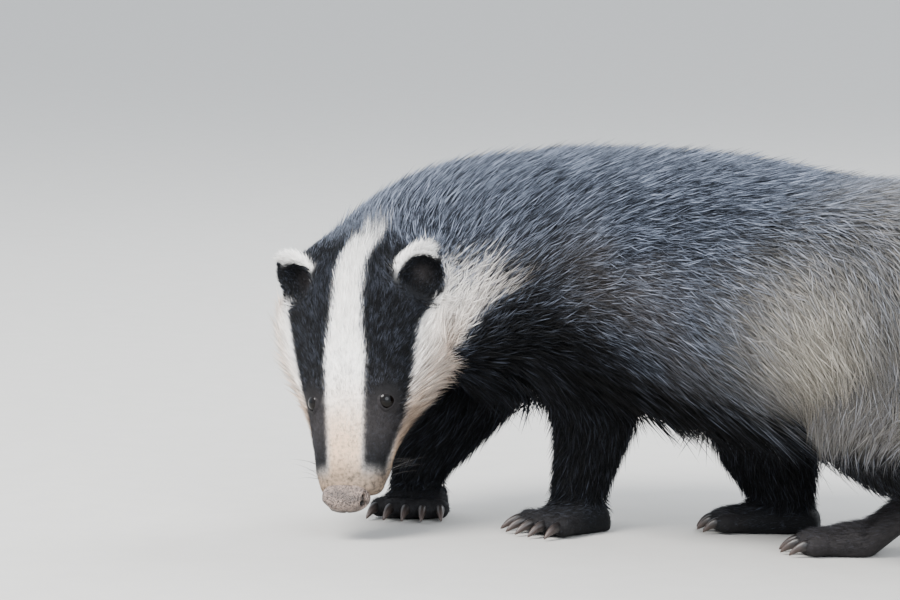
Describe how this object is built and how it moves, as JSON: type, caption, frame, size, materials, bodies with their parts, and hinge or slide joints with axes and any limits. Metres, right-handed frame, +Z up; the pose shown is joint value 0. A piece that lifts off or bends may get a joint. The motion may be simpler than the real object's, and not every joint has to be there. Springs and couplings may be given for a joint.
{
  "type": "european badger model",
  "caption": "Life-size european badger as a still model, in mid stride with its head lowered and turned, black and white face, grey coat.",
  "frame": {"origin": "centre of the bounding box on the floor, at the level of the four soles", "axes": "+X from the head end toward the tail, +Z up, -Y the animal's left side, toward which its face is turned"},
  "size_m": [0.7132, 0.2628, 0.2533],
  "materials": {
    "face_fur": "short fur, white and cream with black stripes",
    "grey_coat": "long coarse grizzled fur",
    "pale_coat": "long pale grey fur",
    "black_fur": "short black fur",
    "paw": "short fur, bare pads and horn claws",
    "eye": "wet gloss",
    "nose_skin": "damp pebbled skin"
  },
  "bodies": {
    "root": {"head": "face_fur", "neck": "grey_coat", "torso_front": "grey_coat", "torso_rear": "grey_coat", "tail": "pale_coat", "foreleg_left": "black_fur", "foreleg_right": "black_fur", "hindleg_left": "black_fur", "hindleg_right": "black_fur", "forepaw_left": "paw", "forepaw_right": "paw", "hindpaw_left": "paw", "hindpaw_right": "paw", "ear_left": "face_fur", "ear_right": "face_fur", "eye_left": "eye", "eye_right": "eye", "nose": "nose_skin"}
  },
  "joints": []
}
